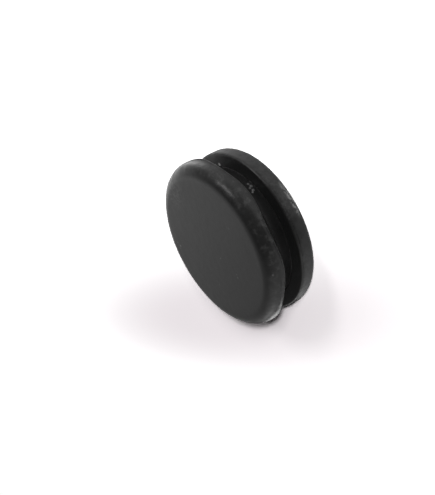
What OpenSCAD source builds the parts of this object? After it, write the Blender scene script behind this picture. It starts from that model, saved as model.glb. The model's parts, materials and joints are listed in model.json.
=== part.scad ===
// Closed rubber grommet: a moulded blanking disc that snaps into a round panel hole.
// Lengths are in millimetres. Z is the moulding's axis, with the closed face up,
// and the origin lies at the middle of the panel groove.

/* [Front flange] */
// Outside diameter of the front flange
front_d = 30; // [28:0.5:40]
// Thickness of the front flange, from the panel to the closed face
front_t = 3.7; // [3.5:0.1:6]
// Radius of the large round at the rim of the closed face
face_round = 2.5; // [0.5:0.1:2.5]
// Radius of the lip that bears on the front of the panel
front_lip_round = 1.1; // [0.3:0.1:1.1]

/* [Panel groove] */
// Diameter of the panel hole, which the bottom of the groove fills
hole_d = 24; // [20:0.5:25]
// Thickness of the panel, which the groove's width takes
panel_t = 3; // [1.5:0.1:6]

/* [Rear flange] */
// Outside diameter of the rear flange, which is pushed through the hole
rear_d = 29; // [28:0.5:38]
// Thickness of the rear flange
rear_t = 3.3; // [2.5:0.1:6]
// Radius of the round at the back of its rim, which leads it into the hole
lead_in_round = 1.4; // [0.4:0.1:1.8]
// Radius of the lip that bears on the back of the panel
rear_lip_round = 0.4; // [0.2:0.1:0.6]

/* [Back recess] */
// Thickness of the closed membrane over the recess
membrane_t = 2.2; // [1.2:0.1:4]
// Wall between the bottom of the groove and the recess
wall_t = 2.5; // [1.6:0.1:4]

/* [Hidden] */
$fn = 128;
// Length by which a cut runs on past its corner, and the core into both flanges
lap = 0.1;
rubber = [0.13, 0.13, 0.135];

front_r = front_d / 2;
rear_r = rear_d / 2;
hole_r = hole_d / 2;
recess_r = hole_r - wall_t;
groove_top = panel_t / 2;
groove_bottom = -panel_t / 2;
face_z = groove_top + front_t;
back_z = groove_bottom - rear_t;
ceiling_z = face_z - membrane_t;

// What a quarter round takes off a square rim. Its centre lies one radius in from the
// corner, and one radius up or down from it, as inward_z is 1 or -1.
module rim_cut(r, corner, inward_z) {
    translate(corner)
        difference() {
            translate([-r, inward_z > 0 ? -lap : -r])
                square(r + lap);
            translate([-r, inward_z * r])
                circle(r);
        }
}

// The stock from the axis out to a rim, between two heights
module disc_section(r, low, high) {
    translate([0, low])
        square([r, high - low]);
}

// Two flanges on one core, with every corner still square
module square_section() {
    difference() {
        union() {
            disc_section(front_r, groove_top, face_z);
            disc_section(hole_r, groove_bottom - lap, groove_top + lap);
            disc_section(rear_r, back_z, groove_bottom);
        }
        disc_section(recess_r, back_z - lap, ceiling_z);
    }
}

// What the rounds take off the four rims
module rounds_taken_off() {
    rim_cut(face_round, [front_r, face_z], -1);
    rim_cut(front_lip_round, [front_r, groove_top], 1);
    rim_cut(rear_lip_round, [rear_r, groove_bottom], -1);
    rim_cut(lead_in_round, [rear_r, back_z], 1);
}

// One moulding: the half section turned about the axis
module grommet() {
    color(rubber)
        rotate_extrude()
            difference() {
                square_section();
                rounds_taken_off();
            }
}

grommet();
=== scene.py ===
"""A closed rubber grommet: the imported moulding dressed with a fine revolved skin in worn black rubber."""

import json
import math

import bpy
import numpy as np
from mathutils import Matrix, Vector


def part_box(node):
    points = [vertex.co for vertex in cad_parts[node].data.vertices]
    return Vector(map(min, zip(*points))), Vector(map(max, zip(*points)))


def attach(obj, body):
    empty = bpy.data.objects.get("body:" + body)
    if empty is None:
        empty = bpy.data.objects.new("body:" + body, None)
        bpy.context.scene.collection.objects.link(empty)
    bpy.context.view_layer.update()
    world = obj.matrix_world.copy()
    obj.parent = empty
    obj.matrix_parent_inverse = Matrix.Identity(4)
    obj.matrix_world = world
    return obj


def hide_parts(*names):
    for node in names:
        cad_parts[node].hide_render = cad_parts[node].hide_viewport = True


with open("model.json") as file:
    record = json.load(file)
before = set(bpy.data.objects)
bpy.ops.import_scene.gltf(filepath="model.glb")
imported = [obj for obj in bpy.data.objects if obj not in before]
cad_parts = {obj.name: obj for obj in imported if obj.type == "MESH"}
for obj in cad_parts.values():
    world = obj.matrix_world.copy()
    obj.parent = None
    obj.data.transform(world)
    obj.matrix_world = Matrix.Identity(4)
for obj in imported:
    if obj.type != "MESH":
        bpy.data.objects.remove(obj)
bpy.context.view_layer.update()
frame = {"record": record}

MM = 0.001

# The moulding. The frame gives its hole, its panel and its box, and the next sizes repeat the
# source's own.
groove = next(m for m in frame["record"]["mounts"] if m["name"] == "panel_groove")
hole_r = groove["dims"]["r_mm"] * MM
panel_t = groove["dims"]["length_mm"] * MM
moulding_low, moulding_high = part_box("grommet")
front_r = moulding_high.x
face_z = moulding_high.z
back_z = moulding_low.z
rear_r = 14.5 * MM
recess_r = 9.5 * MM
membrane_t = 2.2 * MM
face_round = 2.5 * MM
front_lip_round = 1.1 * MM
rear_lip_round = 0.4 * MM
lead_in_round = 1.4 * MM
groove_top = panel_t / 2
groove_bottom = -panel_t / 2
ceiling_z = face_z - membrane_t

# Forms that only this skin has: the lip's small turn and the angle at which its slope starts, and
# the rounds in the groove's corners, at the recess's mouth and under its ceiling
lip_turn = 0.35 * MM
lip_angle = 60
groove_fillet = 0.15 * MM
mouth_round = 0.6 * MM
recess_fillet = 1.2 * MM

# Steps round the axis in the revolved skin
TURNS = 600

# Waves of the lip's edge: how many go round, their height in mm and how far they are turned back
# in degrees. The whole edge also lies a little low.
LIP_WAVES = [(7, 0.25, 96), (2, 0.3, 125)]
LIP_DROP = 0.05

# The photograph's view of it: the groove's centre, the front flange's radius in pixels at that
# depth, the angle between the axis and the line of sight, and the way the axis points on the
# picture, measured from its right towards its foot
PICTURE_WIDE, PICTURE_HIGH = 435, 495
centre_px = (237.2, 235.9)
radius_px = 88.52
focal_px = 900.0
axis_tilt = math.radians(61.6)
axis_turn = math.radians(150.66)

# The rubber: its brightness bare and under full bloom, and its roughness before wear
BARE, BLOOMED = 0.007, 0.01
PLAIN_ROUGHNESS = 0.29

# Places on the rims, each an azimuth in degrees, a radius and a height in mm: a painted highlight
# and a painted darker patch on the rear rim, and a worn stroke on the front rim
REAR_PAINTED_GLINT = (-86, 14.4, -4.0)
REAR_PAINTED_DARK = (-108, 14.5, -3.0)
FRONT_STROKE = (12, 12.8, 5.0)

# Marks on the skin, each a place as above, then its own radius in mm and its brightness: crumbs
# in the groove, a nick on the front rim, and specks on the face
MARKS = [
    (-19.0, 12.5, -1.5, 0.34, 0.30),
    (-13.3, 12.5, -1.5, 0.24, 0.10),
    (-57.9, 12.0, -0.85, 0.28, 0.07),
    (-60.8, 12.0, -0.95, 0.34, 0.08),
    (-64.7, 12.0, -0.70, 0.30, 0.12),
    (-62.0, 12.0, -0.50, 0.26, 0.07),
    (-66.2, 12.0, -0.35, 0.22, 0.10),
    (-124.0, 14.4, 4.35, 0.26, 0.05),
    (-78.4, 8.5, 5.2, 0.22, 0.07),
    (-76.0, 8.1, 5.2, 0.15, 0.06),
    (-160.0, 2.0, 5.2, 0.16, 0.08),
    (-155.8, 6.6, 5.2, 0.24, 0.07),
    (-152.0, 6.2, 5.2, 0.17, 0.09),
    (142.2, 7.3, 5.2, 0.20, 0.05),
    (72.0, 11.1, 5.2, 0.28, 0.10),
    (74.5, 11.6, 5.2, 0.20, 0.12),
    (69.0, 11.6, 5.2, 0.18, 0.10),
]

# The table in other light, then its painted reflection in the rubber near the grommet and far behind it
TABLE_PLAIN = 0.8
TABLE_NEAR, TABLE_FAR = 1.4, 2.6
# Round patches of painted light and shade on the mirrored table: the centre's X and Y, the radius
# at which the patch begins and the one at which it is whole, all in mm
PAINTED_DARK_IN_FRONT = (-10, -27, 14, 4)
PAINTED_BRIGHT_BY_HEAD = (36, 13, 14, 8)
PAINTED_BRIGHT_BY_FOOT = (-30, 11, 16, 8)
PAINTED_SHADOW_BY_FOOT = (-17, 6, 7, 4)
# The table as the camera sees it: white, and an oval of painted shade with its centre and half
# lengths across and down the picture, its lean and its faintly pink colour
TABLE_WHITE = 2.9
SHADE_PLACE = (-6 * MM, 18 * MM)
SHADE_HALF = (26 * MM, 10.5 * MM)
SHADE_LEAN = 0.3
SHADE_COLOUR = (1.6, 1.51, 1.555, 1.0)

# The room as the rubber mirrors it: its level towards the picture's foot (-X) and head (+X), what
# is added right at the foot, its level overhead, and the share of it that lights matt surfaces
FOOT_LEVEL, HEAD_LEVEL = 0.31, 0.82
FOOT_GLOW = 0.4
OVERHEAD_LEVEL = 0.1
DIFFUSE_SHARE = 0.02
# The share of its level left on the camera's side, and the share lost at one place past the head
CAMERA_SIDE = 0.55
PAST_HEAD_LOSS = 0.55
OVERHEAD = (0.3, -0.91, 0.42)
PAST_HEAD = (0.69, 0.43, 0.59)

# Soft square lamps: name, direction, distance and width in metres, radiance, and whether the
# rubber mirrors it
LAMPS = [
    ("lamp_at_picture_head", (0.69, -0.23, 0.68), 0.5, 0.13, 5.0, True),
    ("lamp_at_picture_foot", (-0.76, 0.63, 0.05), 0.5, 0.18, 0.9, True),
    ("lamp_beyond_head", (0.46, 0.89, 0.1), 0.5, 0.25, 0.3, True),
    ("key", (0.14, -0.85, 0.435), 3.0, 0.16, 662.0, False),
    ("soft_key", (0.19, -0.84, 0.44), 3.0, 0.6, 31.4, False),
]


def unit(vector):
    """The vector over its own length."""
    return vector / np.linalg.norm(vector)


def picture_axes():
    """The camera's right, down and forward directions and its place, all in the row frame.

    The moulding's axis is written in the camera's own axes: a sine share of its tilt across the
    picture and a cosine share towards the camera. The row's X and Y then follow, with -Y under
    the camera, and the camera's axes in the row frame are the rows of that same matrix.
    """
    depth = focal_px / radius_px * front_r
    across = (centre_px[0] - PICTURE_WIDE / 2) / focal_px
    down = (centre_px[1] - PICTURE_HIGH / 2) / focal_px
    to_groove = depth * np.array([across, down, 1.0])
    sight = unit(to_groove)
    right = unit(np.cross([0.0, 1.0, 0.0], sight))
    below = np.cross(sight, right)
    on_picture = math.cos(axis_turn) * right + math.sin(axis_turn) * below
    row_z = math.sin(axis_tilt) * on_picture - math.cos(axis_tilt) * sight
    row_y = unit(sight - np.dot(sight, row_z) * row_z)
    row_x = np.cross(row_y, row_z)
    camera_from_row = np.stack([row_x, row_y, row_z], axis=1)
    return camera_from_row, -camera_from_row.T @ to_groove


def add_camera():
    """The photograph's camera, turned on its side because the grommet lies on its back here."""
    (right, below, forward), place = picture_axes()
    data = bpy.data.cameras.new("camera")
    data.sensor_width = 36.0
    data.lens = data.sensor_width * focal_px / PICTURE_HIGH
    data.clip_start, data.clip_end = 1 * MM, 10.0
    camera = bpy.data.objects.new("camera", data)
    turned = np.eye(4)
    turned[:3, 0], turned[:3, 1], turned[:3, 2], turned[:3, 3] = right, -below, -forward, place
    camera.matrix_world = Matrix(turned.tolist())
    bpy.context.scene.collection.objects.link(camera)
    bpy.context.scene.camera = camera


class Value:
    """A number at a socket. Arithmetic on it adds Math nodes to the same tree."""

    def __init__(self, nodes, socket):
        self.nodes, self.socket = nodes, socket

    def math(self, operation, *terms, clamp=False):
        settings = {"operation": operation, "use_clamp": clamp}
        return self.nodes.add("ShaderNodeMath", dict(enumerate(terms)), settings)

    def __add__(self, other):
        return self.math("ADD", self, other)

    def __sub__(self, other):
        return self.math("SUBTRACT", self, other)

    def __rsub__(self, other):
        return self.math("SUBTRACT", other, self)

    def __mul__(self, other):
        return self.math("MULTIPLY", self, other)

    def __pow__(self, other):
        return self.math("POWER", self, other)

    def __abs__(self):
        return self.math("ABSOLUTE", self)

    __radd__ = __add__
    __rmul__ = __mul__

    def held(self):
        """The number kept between 0 and 1."""
        return self.math("ADD", self, 0.0, clamp=True)

    def rise(self, low, high):
        """0 below low, 1 above high and a smooth S between them. It falls where low is the greater."""
        ends = {"Value": self, "From Min": low, "From Max": high}
        return self.nodes.add("ShaderNodeMapRange", ends, {"interpolation_type": "SMOOTHSTEP"})


class Nodes:
    """A node tree, and the one way in which nodes are added to it."""

    def __init__(self, tree):
        self.tree = tree

    def add(self, kind, inputs, settings=None, output=0):
        """Adds a node: its settings first, then the value or the link of each socket."""
        node = self.tree.nodes.new(kind)
        for key, value in (settings or {}).items():
            setattr(node, key, value)
        for key, value in inputs.items():
            self.feed(node.inputs[key], value)
        return Value(self, node.outputs[output])

    def feed(self, socket, value):
        """Links a Value to a socket, or writes a plain one on it."""
        if isinstance(value, Value):
            self.tree.links.new(value.socket, socket)
        else:
            socket.default_value = value

    def seen(self, kind):
        """1 on rays of a kind, such as Camera or Glossy, and 0 on all others."""
        return self.add("ShaderNodeLightPath", {}, output=f"Is {kind} Ray")

    def parts(self, vector):
        """The X, Y and Z of a vector."""
        return [self.add("ShaderNodeSeparateXYZ", {"Vector": vector}, output=i) for i in range(3)]


class Finish(Nodes):
    """A material being built around one Principled shader."""

    def __init__(self, name):
        self.material = bpy.data.materials.new(name)
        self.material.use_nodes = True
        super().__init__(self.material.node_tree)
        self.shader = self.tree.nodes["Principled BSDF"]
        self.place = self.add("ShaderNodeTexCoord", {}, output="Object")

    def set(self, **sockets):
        """Feeds sockets of the shader, named with underscores for spaces."""
        for name, value in sockets.items():
            self.feed(self.shader.inputs[name.replace("_", " ")], value)

    def noise(self, size, detail=2.0, roughness=0.5):
        """Smooth noise from about 0.25 to 0.75, with features of about that size."""
        inputs = {"Vector": self.place, "Scale": 1 / size, "Detail": detail, "Roughness": roughness}
        return self.add("ShaderNodeTexNoise", inputs)

    def specks(self, spacing, radius, share):
        """Round specks on a random share of the cells of a Voronoi pattern, 1 inside and 0 outside."""
        cells = {"Vector": self.place, "Scale": 1 / spacing}
        distance = self.add("ShaderNodeTexVoronoi", cells, output="Distance")
        colour = self.add("ShaderNodeTexVoronoi", cells, output="Color")
        pick = self.add("ShaderNodeSeparateColor", {"Color": colour}, output="Red")
        picked = pick.rise(1 - share, 1.001 - share)
        return distance.rise(radius / spacing, 0.6 * radius / spacing) * picked

    def near(self, place, far, close):
        """1 within the close distance of a place, falling to 0 at the far one."""
        ends = {0: self.place, 1: place}
        distance = self.add("ShaderNodeVectorMath", ends, {"operation": "DISTANCE"}, "Value")
        return distance.rise(far, close)

    def mix(self, factor, low, high):
        """The first colour where the factor is 0 and the second where it is 1."""
        inputs = {"Factor": factor, 6: low, 7: high}
        return self.add("ShaderNodeMix", inputs, {"data_type": "RGBA"}, 2)

    def layered(self, ground, layers):
        """The ground's colour under layers of grey, each a mask and its brightness. The last is on top."""
        for mask, level in layers:
            ground = self.mix(mask, ground, grey(level))
        return ground

    def bump(self, height, depth, beneath=None):
        """A bump of that depth over whatever lies beneath it."""
        inputs = {"Height": height, "Distance": depth, "Strength": 1.0}
        if beneath:
            inputs["Normal"] = beneath
        return self.add("ShaderNodeBump", inputs)


def grey(level):
    """A neutral colour of that brightness."""
    return (level, level, level, 1.0)


def length(x, y):
    """The distance of a point from the origin of its plane."""
    return (x * x + y * y) ** 0.5


def on_skin(azimuth, out, up):
    """The point at that azimuth in degrees, that many mm from the axis and at that height in mm."""
    angle = math.radians(azimuth)
    return (out * math.cos(angle) * MM, out * math.sin(angle) * MM, up * MM)


def black_rubber():
    """Matt black rubber: a fine moulded grain, a faint bloom, scuffed rims, dust and crumbs, and painted
    light and shade.
    """
    finish = Finish("black_rubber")
    x, y, z = finish.parts(finish.place)
    radius = length(x, y)
    grain = finish.noise(0.16 * MM, 2.0, 0.6)
    bloom = (finish.noise(2.4 * MM, 3.0, 0.6) * 0.5 + grain * 0.5).rise(0.38, 0.7)
    rim = radius.rise(front_r - 1.6 * MM, front_r - 0.6 * MM)
    rubbed = finish.noise(1.1 * MM, 3.0, 0.65).rise(0.5, 0.68) * rim
    dust = finish.specks(1.3 * MM, 0.085 * MM, 0.14) * finish.noise(3 * MM).rise(0.45, 0.6)
    worn = finish.noise(0.55 * MM, 3.0, 0.7)
    crumb = finish.noise(0.25 * MM, 1.0).rise(0.3, 0.5)

    # The groove, the corners at its bottom, and the rear flange's ledge in it at the picture's foot.
    # The groove's grey is painted light, and the corners' darker grey is painted shade
    groove_high = z.rise(groove_top + 1.0 * MM, groove_top + 0.5 * MM)
    groove_low = z.rise(groove_bottom - 0.2 * MM, groove_bottom)
    sheltered = groove_high * groove_low * radius.rise(recess_r + 1 * MM, recess_r + 2 * MM)
    corners = radius.rise(hole_r + 0.3 * MM, hole_r + 0.1 * MM) * sheltered
    rear_corner = corners * z.rise(groove_bottom + 0.4 * MM, groove_bottom + 0.15 * MM)
    ledge = sheltered * z.rise(groove_bottom + 0.15 * MM, groove_bottom + 0.05 * MM)
    ledge = ledge * x.rise(-8 * MM, -11 * MM)

    # Wear on the rear flange's rim and on the front one, and a painted highlight and a painted darker patch
    # on the rear rim
    rear_rim = radius.rise(rear_r - 1 * MM, rear_r - 0.3 * MM)
    rear_rim = rear_rim * z.rise(groove_bottom, groove_bottom - 0.5 * MM)
    mottled = worn.rise(0.4, 0.65) * rear_rim
    # Painted shade: a darker stretch of the rear rim
    painted_dark_patch = finish.near(on_skin(*REAR_PAINTED_DARK), 5 * MM, 2 * MM) * rear_rim
    # A painted highlight on the rear flange's lead-in, broken up by the wear noise
    painted_glint = finish.near(on_skin(*REAR_PAINTED_GLINT), 3.8 * MM, 1.6 * MM) * worn.rise(0.4, 0.58)
    painted_glint = painted_glint * z.rise(-3.2 * MM, -3.7 * MM) * z.rise(-4.75 * MM, -4.45 * MM)
    stroke = finish.near(on_skin(*FRONT_STROKE), 4.5 * MM, 1.5 * MM) * worn.rise(0.45, 0.58)

    # Each layer's mask and brightness, then each rougher place's mask and what it adds
    layers = [
        (rubbed, 0.024),
        (mottled, 0.02),
        # painted shade on the rear rim
        (painted_dark_patch, 0.002),
        (stroke, 0.04),
        # painted highlight on the rear rim
        (painted_glint, 0.16),
        (dust * 0.7, 0.16),
        # painted light: the groove a little paler than bare rubber, to make up for the shade in it
        (sheltered, 0.009),
        # painted shade in the groove's bottom corners
        (corners, 0.003),
    ]
    for azimuth, out, up, size, level in MARKS:
        spot = finish.near(on_skin(azimuth, out, up), size * MM, 0.5 * size * MM)
        layers.append((spot * crumb, level))
    rougher = [
        (bloom, 0.07),
        (rubbed, 0.08),
        (dust, 0.3),
        (sheltered, 0.05),
        (rear_corner * worn.rise(0.3, 0.6), 0.4),
        (ledge, 0.5),
    ]
    colour = finish.layered(finish.mix(bloom, grey(BARE), grey(BLOOMED)), layers)
    roughness = sum((mask * added for mask, added in rougher), PLAIN_ROUGHNESS)
    wide = finish.bump(finish.noise(1.4 * MM, 2.0), 0.02 * MM)
    fine = finish.bump(grain, 0.008 * MM, wide)
    finish.set(Base_Color=colour, Roughness=roughness.held(), Normal=fine, IOR=1.5)
    return finish.material


def line(start, end, steps):
    """Points from start up to but not at end, evenly spaced."""
    share = np.linspace(0, 1, steps, endpoint=False)[:, None]
    return np.array(start) * (1 - share) + np.array(end) * share


def arc(centre, radius, start, end, steps):
    """Points on a circle about centre, from the start angle up to but not at the end one, in degrees."""
    angle = np.radians(np.linspace(start, end, steps, endpoint=False))
    return np.array(centre) + radius * np.stack([np.cos(angle), np.sin(angle)], axis=1)


def moulding_profile():
    """The half section as (radius, height) points, from the closed face round to the recess's ceiling.

    Straight runs and quarter rounds follow each other. The lip turns by its angle only, and a
    straight slope goes on from there into the groove.
    """
    wall_z = groove_top + front_lip_round
    turned = math.radians(lip_angle)
    slope_r = front_r - lip_turn * (1 - math.cos(turned))
    slope_z = wall_z - lip_turn * math.sin(turned)
    slope_end_r = slope_r - (slope_z - groove_top) * math.tan(turned)
    inner_r = hole_r + groove_fillet
    runs = [
        line((0, face_z), (front_r - face_round, face_z), 34),
        arc((front_r - face_round, face_z - face_round), face_round, 90, 0, 20),
        line((front_r, face_z - face_round), (front_r, wall_z), 3),
        arc((front_r - lip_turn, wall_z), lip_turn, 0, -lip_angle, 6),
        line((slope_r, slope_z), (slope_end_r, groove_top), 7),
        line((slope_end_r, groove_top), (inner_r, groove_top), 5),
        arc((inner_r, groove_top - groove_fillet), groove_fillet, 90, 180, 4),
        line((hole_r, groove_top - groove_fillet), (hole_r, groove_bottom + groove_fillet), 5),
        arc((inner_r, groove_bottom + groove_fillet), groove_fillet, 180, 270, 4),
        line((inner_r, groove_bottom), (rear_r - rear_lip_round, groove_bottom), 5),
        arc((rear_r - rear_lip_round, groove_bottom - rear_lip_round), rear_lip_round, 90, 0, 6),
        line((rear_r, groove_bottom - rear_lip_round), (rear_r, back_z + lead_in_round), 6),
        arc((rear_r - lead_in_round, back_z + lead_in_round), lead_in_round, 0, -90, 10),
        line((rear_r - lead_in_round, back_z), (recess_r + mouth_round, back_z), 5),
        arc((recess_r + mouth_round, back_z + mouth_round), mouth_round, 270, 180, 5),
        line((recess_r, back_z + mouth_round), (recess_r, ceiling_z - recess_fillet), 8),
        arc((recess_r - recess_fillet, ceiling_z - recess_fillet), recess_fillet, 0, 90, 7),
        line((recess_r - recess_fillet, ceiling_z), (0, ceiling_z), 12),
        np.array([(0, ceiling_z)]),
    ]
    return np.concatenate(runs)


def add_mesh(name, points, faces):
    """An object at the origin whose mesh has these points and faces."""
    mesh = bpy.data.meshes.new(name)
    mesh.from_pydata(points.tolist(), [], faces)
    mesh.validate()
    mesh.shade_smooth()
    made = bpy.data.objects.new(name, mesh)
    bpy.context.scene.collection.objects.link(made)
    return made


def revolved(profile, turns):
    """Points and faces of a profile turned about Z.

    Each point goes round in a ring, and the two end points on the axis become poles. Ring i, step
    j is (r_i cos t_j, r_i sin t_j, z_i), with t_j = 2 pi j / turns.
    """
    angle = np.linspace(0, 2 * np.pi, turns, endpoint=False)
    rings = profile[1:-1]
    x = rings[:, :1] * np.cos(angle)
    y = rings[:, :1] * np.sin(angle)
    z = np.repeat(rings[:, 1:], turns, axis=1)
    body = np.stack([x, y, z], axis=2).reshape(-1, 3)
    top = np.array([[0, 0, profile[0, 1]]])
    bottom = np.array([[0, 0, profile[-1, 1]]])
    points = np.concatenate([body, top, bottom])
    ring = np.arange(len(rings) - 1)[:, None] * turns
    step = np.arange(turns)[None, :]
    after = (step + 1) % turns
    quads = np.stack([ring + step, ring + turns + step, ring + turns + after, ring + after], axis=2)
    last = (len(rings) - 1) * turns
    step, after = step[0], after[0]
    cap = np.stack([step, after, np.full(turns, len(body))], axis=1)
    floor = np.stack([last + after, last + step, np.full(turns, len(body) + 1)], axis=1)
    faces = quads.reshape(-1, 4).tolist() + cap.tolist() + floor.tolist()
    return points, faces


def lumps(points, size, seed):
    """Value noise from -1 to 1: random heights on a cubic lattice, blended by a smooth step."""
    count = 64
    heights = np.random.default_rng(seed).uniform(-1, 1, (count, count, count))
    cell = np.floor(points / size).astype(int)
    share = points / size - cell
    share = share * share * (3 - 2 * share)
    total = np.zeros(len(points))
    for corner in np.ndindex(2, 2, 2):
        weight = np.prod(np.where(corner, share, 1 - share), axis=1)
        i, j, k = ((cell + corner) % count).T
        total += weight * heights[i, j, k]
    return total


def smooth_step(values, low, high):
    """0 below low, 1 above high and a smooth S between them. It falls where low is the greater."""
    share = np.clip((values - low) / (high - low), 0, 1)
    return share * share * (3 - 2 * share)


def relief(points):
    """How far the skin stands proud of the plain moulding.

    It is slow unevenness outside, finer mottling on the front rim and ragged flash along its lip,
    and it fades out just above the table.
    """
    radius = np.hypot(points[:, 0], points[:, 1])
    height = points[:, 2]
    off_table = smooth_step(height, back_z, back_z + 0.8 * MM)
    outside = smooth_step(radius, 9 * MM, 12 * MM) * off_table
    rim = smooth_step(radius, front_r - 1.8 * MM, front_r - 0.7 * MM) * off_table
    slow = 0.03 * MM * lumps(points, 5 * MM, 1) * outside
    mottled = (0.022 * lumps(points, 1.1 * MM, 2) + 0.012 * lumps(points, 0.5 * MM, 3)) * MM * rim
    lip = smooth_step(np.abs(height - groove_top - 0.15 * MM), 0.35 * MM, 0.1 * MM)
    lip = lip * smooth_step(radius, front_r - 0.8 * MM, front_r - 0.4 * MM)
    ragged = smooth_step(lumps(points, 0.9 * MM, 4), 0.1, 0.7)
    flash = 0.015 * MM * lip * ragged
    return slow + mottled + flash


def lip_wander(points):
    """How far the edge over the groove strays up or down.

    It is a sum of cosine waves round the axis. It fades up the rim, inwards, and away from the
    side that the photograph shows.
    """
    angle = np.arctan2(points[:, 1], points[:, 0])
    waves = sum(high * np.cos(count * (angle + math.radians(back))) for count, high, back in LIP_WAVES)
    radius = np.hypot(points[:, 0], points[:, 1])
    above = points[:, 2] - groove_top
    near_edge = smooth_step(above, 2.4 * MM, 1.1 * MM) * smooth_step(above, 0.0, 0.8 * MM)
    near_edge = near_edge * smooth_step(radius, front_r - 1.1 * MM, front_r - 0.3 * MM)
    return (waves - LIP_DROP) * MM * near_edge * smooth_step(-np.sin(angle), 0.0, 0.3)


def add_moulding(rubber):
    """The whole grommet as one closed skin."""
    profile = moulding_profile()
    points, faces = revolved(profile, TURNS)
    along = np.gradient(profile, axis=0)
    outward = np.stack([-along[:, 1], along[:, 0]], axis=1)
    outward /= np.linalg.norm(outward, axis=1)[:, None]
    normals, _ = revolved(outward, TURNS)
    points += normals * relief(points)[:, None]
    points[:, 2] += lip_wander(points)
    skin = add_mesh("grommet_skin", points, faces)
    skin.data.materials.append(rubber)
    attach(skin, "root")
    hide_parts("grommet")


def round_patch(finish, x, y, begins, whole):
    """A round patch of the table, with its centre and its two radii in mm."""
    return finish.near((x * MM, y * MM, back_z), begins * MM, whole * MM)


def table_mirrored(finish, x, y):
    """The table's colour as the rubber mirrors it: painted reflections of light and shade.

    Black rubber shows little but what it mirrors, so each patch here is a painted band of light or
    shade on it: the remote table, painted shade under the grommet, a painted ring of shade round
    that, and a painted shadow strip that leads away behind it, with four round patches of painted
    light and shade.
    """
    distance = length(x, y)
    far = y.rise(0.0, 35 * MM) * x.rise(0.0, 25 * MM)
    remote = distance.rise(30 * MM, 90 * MM) * x.rise(30 * MM, -20 * MM)
    under = distance.rise(16.5 * MM, 14.5 * MM)
    ring = distance.rise(18.5 * MM, 20.5 * MM) * distance.rise(26 * MM, 23.5 * MM)
    aside = 0.82 * x + 0.57 * y + 1.2 * MM
    beyond = 0.82 * y - 0.57 * x - 22.7 * MM
    strip = abs(aside).rise(9 * MM, 4 * MM)
    strip = strip * beyond.rise(-8 * MM, -2 * MM) * beyond.rise(90 * MM, 40 * MM)
    # Painted reflections: patches of light and shade that only the rubber sees
    layers = [
        (remote, 0.75),
        (under, 0.85),
        (round_patch(finish, *PAINTED_DARK_IN_FRONT), 0.4),
        (ring, 0.05),
        (round_patch(finish, *PAINTED_BRIGHT_BY_HEAD), 4.0),
        (round_patch(finish, *PAINTED_BRIGHT_BY_FOOT), 3.6),
        (round_patch(finish, *PAINTED_SHADOW_BY_FOOT), 0.05),
        (strip, 0.1),
    ]
    return finish.layered(finish.mix(far, grey(TABLE_NEAR), grey(TABLE_FAR)), layers)


def table_shown(finish, x, y):
    """The table's colour as the camera sees it: white, with a soft oval of painted shade at the grommet's
    foot.

    A step along X or Y moves a point of the table across and down the picture by fixed shares.
    """
    across = (-0.49 * x - 0.395 * y - SHADE_PLACE[0]) * (1 / SHADE_HALF[0])
    down = (-0.872 * x + 0.222 * y - SHADE_PLACE[1]) * (1 / SHADE_HALF[1]) + SHADE_LEAN * across
    return finish.mix(length(across, down).rise(2.4, 0.3), grey(TABLE_WHITE), SHADE_COLOUR)


def add_floor():
    """A wide white table top under the rear flange, which looks plain pale grey to all other light."""
    half = 2.0
    corners = [(-half, -half, back_z), (half, -half, back_z), (half, half, back_z), (-half, half, back_z)]
    table = add_mesh("table", np.array(corners), [(0, 1, 2, 3)])
    finish = Finish("white_table")
    x, y, _ = finish.parts(finish.place)
    # Glossy rays see the table with painted reflections of light and shade
    colour = finish.mix(finish.seen("Glossy"), grey(TABLE_PLAIN), table_mirrored(finish, x, y))
    # The camera sees the table white, with a painted oval of shade at the foot
    colour = finish.mix(finish.seen("Camera"), colour, table_shown(finish, x, y))
    finish.set(Base_Color=colour, Roughness=0.9, Specular_IOR_Level=0.0)
    table.data.materials.append(finish.material)


def add_world():
    """A pale room, dim overhead, on the camera's side and past the head. The camera sees it as white."""
    world = bpy.data.worlds.new("room")
    bpy.context.scene.world = world
    world.use_nodes = True
    nodes = Nodes(world.node_tree)
    x, y, z = nodes.parts(nodes.add("ShaderNodeTexCoord", {}, output="Generated"))

    def facing(direction):
        """How far a ray points that way: the dot product of the two directions."""
        return direction[0] * x + direction[1] * y + direction[2] * z

    level = FOOT_LEVEL + (HEAD_LEVEL - FOOT_LEVEL) * x.rise(-0.14, 0.2) + FOOT_GLOW * x.rise(-0.4, -0.85)
    level = level * (CAMERA_SIDE + (1 - CAMERA_SIDE) * y.rise(-0.9, -0.1))
    level = level * (1 - PAST_HEAD_LOSS * facing(PAST_HEAD).rise(0.8, 0.98))
    overhead = facing(OVERHEAD).rise(-0.12, 0.16) * z.rise(-0.1, 0.6)
    overhead = overhead * x.rise(-1.0, -0.3) * x.rise(1.0, 0.3)
    room = level + (OVERHEAD_LEVEL - level) * overhead
    camera = nodes.seen("Camera")
    glossy = nodes.seen("Glossy")
    room = room * (glossy + (1 - glossy) * DIFFUSE_SHARE)
    background = world.node_tree.nodes["Background"]
    nodes.feed(background.inputs["Color"], grey(1.0))
    nodes.feed(background.inputs["Strength"], room * (1 - camera) + camera)


def add_lamp(name, direction, away, wide, radiance, mirrored):
    """A square soft lamp that faces the origin. Its power is radiance times pi times its area."""
    data = bpy.data.lights.new(name, "AREA")
    data.shape = "SQUARE"
    data.size = wide
    data.energy = radiance * math.pi * wide**2
    lamp = bpy.data.objects.new(name, data)
    place = Vector(unit(np.array(direction, float))) * away
    lamp.matrix_world = Matrix.Translation(place) @ place.to_track_quat("Z", "Y").to_matrix().to_4x4()
    lamp.visible_camera = False
    lamp.visible_glossy = mirrored
    bpy.context.scene.collection.objects.link(lamp)


bpy.context.scene.view_settings.view_transform = "Standard"
add_camera()
add_floor()
add_world()
for lamp in LAMPS:
    add_lamp(*lamp)
add_moulding(black_rubber())
